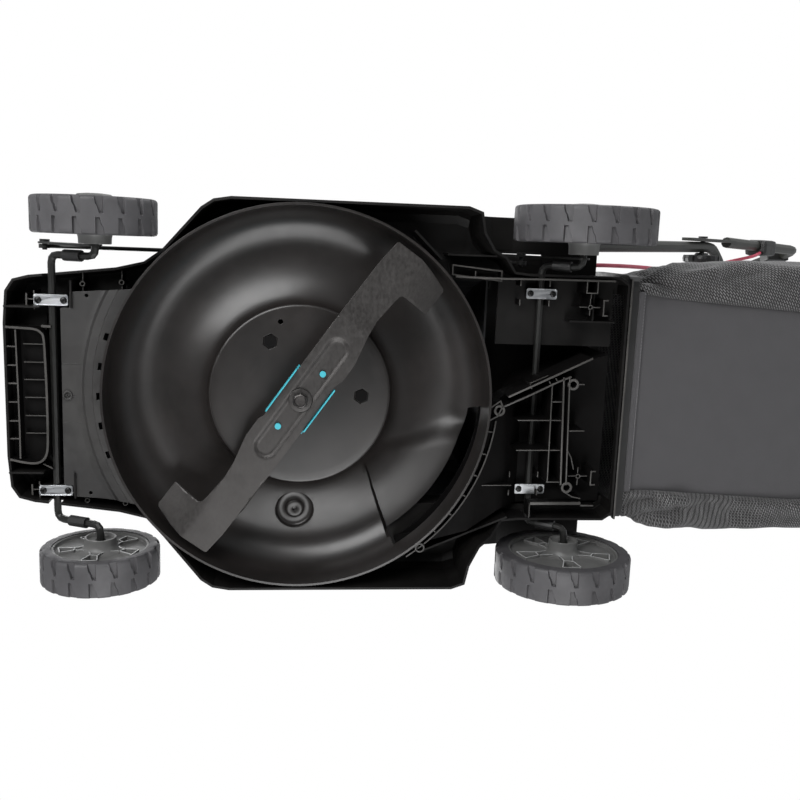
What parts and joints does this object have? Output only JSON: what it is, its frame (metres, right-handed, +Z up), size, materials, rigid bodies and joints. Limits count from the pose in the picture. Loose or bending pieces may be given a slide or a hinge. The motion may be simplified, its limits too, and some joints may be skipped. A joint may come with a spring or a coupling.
{
  "type": "cordless lawn mower",
  "caption": "Battery rotary lawn mower with cranked height-adjustable axles, folding handle and rear grass bag.",
  "frame": {"origin": "centre of the bounding box on the ground", "axes": "+X to the mower's left, +Y rearwards towards the grass bag and handle, +Z up"},
  "size_m": [0.4922, 1.3807, 1.0108],
  "materials": {
    "deck_plastic": "moulded black plastic, slight sheen",
    "cover_plastic": "moulded dark grey plastic",
    "hood_plastic": "semi-gloss black plastic",
    "black_plastic": "black plastic, fine texture",
    "hub_plastic": "mid grey plastic",
    "teal_plastic": "blue-green plastic",
    "red_plastic": "red plastic",
    "tread_rubber": "dusty hard tread",
    "black_steel": "dark phosphated steel",
    "zinc_steel": "bright zinc plate",
    "blade_steel": "dark painted steel",
    "tube_steel": "grey powder coat",
    "grip_foam": "closed-cell foam sleeve",
    "bag_fabric": "coarse woven panel",
    "bag_mesh_cloth": "open mesh cloth",
    "cable_sheath": "red flexible sheath"
  },
  "bodies": {
    "deck": {"deck_shell": "deck_plastic", "cutting_chamber": "deck_plastic", "front_cover": "cover_plastic", "front_grip": "deck_plastic", "discharge_chute": "deck_plastic", "axle_clamp_front_left": "zinc_steel", "axle_clamp_front_right": "zinc_steel", "axle_clamp_rear_left": "zinc_steel", "axle_clamp_rear_right": "zinc_steel", "rear_housing": "deck_plastic", "motor_cover": "hood_plastic", "battery_bay": "black_plastic", "motor_flange": "zinc_steel", "motor_can": "black_steel", "bearing_lower": "zinc_steel", "bearing_upper": "zinc_steel", "height_quadrant": "zinc_steel", "handle_bracket_left": "deck_plastic", "handle_bracket_right": "deck_plastic", "lower_handle": "tube_steel", "cable_lower": "cable_sheath"},
    "front_axle": {"front_axle": "black_steel", "crank_sleeve_front_left": "hub_plastic", "crank_sleeve_front_right": "hub_plastic"},
    "rear_axle": {"rear_axle": "black_steel", "crank_sleeve_rear_left": "hub_plastic", "crank_sleeve_rear_right": "hub_plastic", "height_knob": "black_plastic"},
    "link_rod": {"link_rod": "black_steel"},
    "rotor": {"rotor_shaft": "zinc_steel", "blade": "blade_steel", "blade_carrier": "teal_plastic", "blade_bolt": "blade_steel"},
    "battery_lid": {"battery_lid": "cover_plastic"},
    "battery_pack": {"battery_pack": "black_plastic"},
    "safety_key": {"safety_key": "red_plastic"},
    "rear_flap": {"rear_flap": "hood_plastic"},
    "grass_bag": {"bag_frame": "black_plastic", "bag_base": "bag_fabric", "bag_mesh": "bag_mesh_cloth", "bag_handle": "black_plastic"},
    "upper_handle": {"upper_handle": "tube_steel", "foam_grip": "grip_foam", "switch_housing": "black_plastic", "bail_bracket_left": "black_plastic", "bail_bracket_right": "black_plastic", "cable_upper": "cable_sheath"},
    "bail": {"bail_lever": "black_steel"},
    "lock_off_button": {"lock_off_button": "red_plastic"},
    "clamp_knob_left": {"clamp_knob_left": "black_plastic"},
    "clamp_knob_right": {"clamp_knob_right": "black_plastic"},
    "wheel_front_left": {"tyre_front_left": "tread_rubber", "hub_front_left": "hub_plastic"},
    "wheel_front_right": {"tyre_front_right": "tread_rubber", "hub_front_right": "hub_plastic"},
    "wheel_rear_left": {"tyre_rear_left": "tread_rubber", "hub_rear_left": "hub_plastic"},
    "wheel_rear_right": {"tyre_rear_right": "tread_rubber", "hub_rear_right": "hub_plastic"}
  },
  "joints": [
    {"name": "height_front", "type": "hinge", "parent": "deck", "child": "front_axle", "pos_m": [0, -0.637, 0.098], "axis": [1, 0, 0], "range_deg": [-25, 15]},
    {"name": "height_rear", "type": "hinge", "parent": "deck", "child": "rear_axle", "pos_m": [0, -0.0412, 0.1155], "axis": [1, 0, 0], "range_deg": [-32, 19.2]},
    {"name": "link_pivot", "type": "hinge", "parent": "front_axle", "child": "link_rod", "pos_m": [0.1695, -0.659, 0.155], "axis": [1, 0, 0], "range_deg": [-15, 25]},
    {"name": "wheel_spin_front_left", "type": "hinge", "parent": "front_axle", "child": "wheel_front_left", "pos_m": [0.186, -0.5805, 0.07], "axis": [1, 0, 0], "continuous": true},
    {"name": "wheel_spin_front_right", "type": "hinge", "parent": "front_axle", "child": "wheel_front_right", "pos_m": [-0.186, -0.5805, 0.07], "axis": [1, 0, 0], "continuous": true},
    {"name": "wheel_spin_rear_left", "type": "hinge", "parent": "rear_axle", "child": "wheel_rear_left", "pos_m": [0.1974, 0.0027, 0.0875], "axis": [1, 0, 0], "continuous": true},
    {"name": "wheel_spin_rear_right", "type": "hinge", "parent": "rear_axle", "child": "wheel_rear_right", "pos_m": [-0.1974, 0.0027, 0.0875], "axis": [1, 0, 0], "continuous": true},
    {"name": "blade_spin", "type": "hinge", "parent": "deck", "child": "rotor", "pos_m": [0.0012, -0.3425, 0.048], "axis": [0, 0, 1], "continuous": true},
    {"name": "lid_hinge", "type": "hinge", "parent": "deck", "child": "battery_lid", "pos_m": [0, -0.4865, 0.2725], "axis": [1, 0, 0], "range_deg": [0, 100]},
    {"name": "battery_slide", "type": "slide", "parent": "deck", "child": "battery_pack", "axis": [0, 0, 1], "range_m": [0, 0.02]},
    {"name": "key_slide", "type": "slide", "parent": "deck", "child": "safety_key", "axis": [0, 0, 1], "range_m": [0, 0.012]},
    {"name": "flap_hinge", "type": "hinge", "parent": "deck", "child": "rear_flap", "pos_m": [0, 0.0535, 0.262], "axis": [1, 0, 0], "range_deg": [0, 65]},
    {"name": "bag_lift_off", "type": "slide", "parent": "deck", "child": "grass_bag", "axis": [0, 1, 0], "range_m": [0, 0.25]},
    {"name": "handle_fold", "type": "hinge", "parent": "deck", "child": "upper_handle", "pos_m": [0, 0.3405, 0.5], "axis": [1, 0, 0], "range_deg": [0, 135]},
    {"name": "bail_hinge", "type": "hinge", "parent": "upper_handle", "child": "bail", "pos_m": [0, 0.6455, 0.86], "axis": [1, 0, 0], "range_deg": [-10, 0], "stiffness_Nm_per_rad": 1.2, "springref_deg": 2.86},
    {"name": "lock_off_press", "type": "slide", "parent": "upper_handle", "child": "lock_off_button", "axis": [0, 0.6691, -0.7431], "range_m": [0, 0.003], "stiffness_N_per_m": 300, "springref_m": -0.001},
    {"name": "knob_turn_left", "type": "hinge", "parent": "deck", "child": "clamp_knob_left", "pos_m": [0.1822, 0.3405, 0.5], "axis": [1, 0, 0], "continuous": true},
    {"name": "knob_turn_right", "type": "hinge", "parent": "deck", "child": "clamp_knob_right", "pos_m": [-0.1822, 0.3405, 0.5], "axis": [1, 0, 0], "continuous": true}
  ],
  "couplings": [
    {"joint": "height_rear", "follows": "height_front", "ratio": 1.28},
    {"joint": "link_pivot", "follows": "height_front", "ratio": -1}
  ]
}
